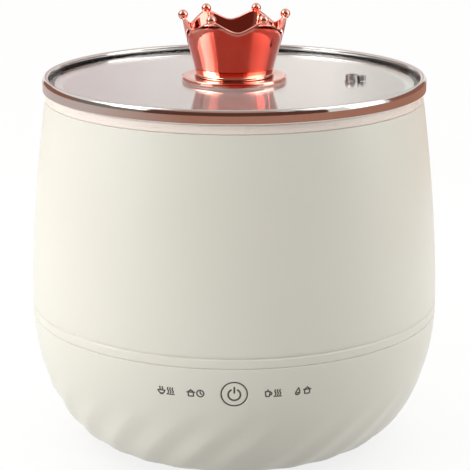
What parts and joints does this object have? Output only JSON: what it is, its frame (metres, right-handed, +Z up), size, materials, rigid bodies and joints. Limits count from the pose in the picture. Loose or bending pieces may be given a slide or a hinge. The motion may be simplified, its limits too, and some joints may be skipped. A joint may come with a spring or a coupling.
{
  "type": "electric hot pot",
  "caption": "Countertop electric hot pot: barrel body with a fluted base, lift-out cooking pot, lift-off glass lid with a crown knob, push button and rear power inlet.",
  "frame": {"origin": "on the table under the pot's axis, at the underside of the feet", "axes": "+Z up along the pot's axis, -Y towards the control panel, +Y towards the power inlet"},
  "size_m": [0.2014, 0.2014, 0.2143],
  "materials": {
    "cream_body": "satin cream injection-moulded PP, soft gloss",
    "cream_collar": "satin cream heat-resistant plastic",
    "cream_trim": "satin cream plastic",
    "cover_plastic": "fine matt texture",
    "foot_rubber": "matt black rubber",
    "zinc_screw": "zinc-plated steel",
    "shield_sheet": "plain rolled sheet",
    "cast_plate": "cast and turned aluminium",
    "element_sheath": "bright annealed sheath",
    "ceramic_bead": "unglazed ceramic",
    "fuse_metal": "plated fuse capsule",
    "bracket_steel": "pressed steel",
    "probe_metal": "spun aluminium",
    "spring_steel": "spring steel",
    "bead_epoxy": "epoxy-coated thermistor",
    "board_green": "glass-epoxy board with green mask",
    "relay_case": "moulded relay case",
    "transformer_core": "varnished laminations and tape",
    "capacitor_can": "sleeved cans and film box",
    "terminal_green": "moulded terminal block",
    "connector_white": "moulded nylon",
    "led_lens": "diffused lamp lens",
    "switch_black": "moulded switch",
    "button_cream": "satin cream plastic with a printed mark",
    "inlet_black": "moulded inlet",
    "pin_metal": "nickel-plated brass",
    "wire_brown": "insulated wire",
    "wire_earth": "green and yellow insulated wire",
    "wire_white": "silicone insulated wire",
    "wire_grey": "flat ribbon cable",
    "pot_coating": "pale ceramic coating on drawn aluminium",
    "lid_glass": "clear tempered glass",
    "rim_steel": "polished stainless steel",
    "rose_gold": "rose-gold mirror plating on zinc casting",
    "silicone": "translucent silicone"
  },
  "bodies": {
    "housing": {"outer_shell": "cream_body", "top_collar": "cream_collar", "trim_band": "cream_trim", "base_shell": "cream_body", "bottom_cover": "cover_plastic", "rubber_feet": "foot_rubber", "cover_screws": "zinc_screw", "frame_screws": "zinc_screw", "shield_screws": "zinc_screw", "heat_shield": "shield_sheet", "heating_plate": "cast_plate", "heating_tube": "element_sheath", "heater_terminals": "pin_metal", "terminal_insulators": "ceramic_bead", "plate_standoffs": "bracket_steel", "plate_screws": "zinc_screw", "thermal_fuse": "fuse_metal", "fuse_clip": "bracket_steel", "sensor_bracket": "bracket_steel", "power_board": "board_green", "relay": "relay_case", "transformer": "transformer_core", "capacitors": "capacitor_can", "terminal_block": "terminal_green", "board_connector": "connector_white", "board_screws": "zinc_screw", "control_board": "board_green", "panel_screws": "zinc_screw", "indicator_leds": "led_lens", "tact_switch": "switch_black", "inlet_housing": "inlet_black", "inlet_pins": "pin_metal", "inlet_screws": "zinc_screw", "mains_leads": "wire_brown", "earth_lead": "wire_earth", "heater_leads": "wire_white", "sensor_lead": "wire_white", "ribbon_cable": "wire_grey"},
    "probe": {"sensor_cap": "probe_metal", "sensor_bead": "bead_epoxy", "sensor_spring": "spring_steel"},
    "pot": {"inner_pot": "pot_coating"},
    "lid": {"lid_glass": "lid_glass", "lid_rim": "rim_steel", "vent_eyelet": "rim_steel", "crown_knob": "rose_gold", "knob_flange": "rose_gold", "knob_gasket": "silicone", "knob_washer": "silicone", "knob_screw": "zinc_screw"},
    "button": {"select_button": "button_cream", "switch_plunger": "connector_white"}
  },
  "joints": [
    {"name": "pot_lift", "type": "slide", "parent": "housing", "child": "pot", "axis": [0, 0, 1], "range_m": [0, 0.12]},
    {"name": "lid_lift", "type": "slide", "parent": "pot", "child": "lid", "axis": [0, 0, 1], "range_m": [0, 0.1]},
    {"name": "probe_rise", "type": "slide", "parent": "housing", "child": "probe", "axis": [0, 0, 1], "range_m": [0, 0.0025], "deforming": ["sensor_spring"]},
    {"name": "button_press", "type": "slide", "parent": "housing", "child": "button", "axis": [0, 1, 0], "range_m": [0, 0.001], "stiffness_N_per_m": 800, "springref_m": -0.0005}
  ],
  "couplings": [
    {"joint": "probe_rise", "follows": "pot_lift", "ratio": 0.0208}
  ]
}
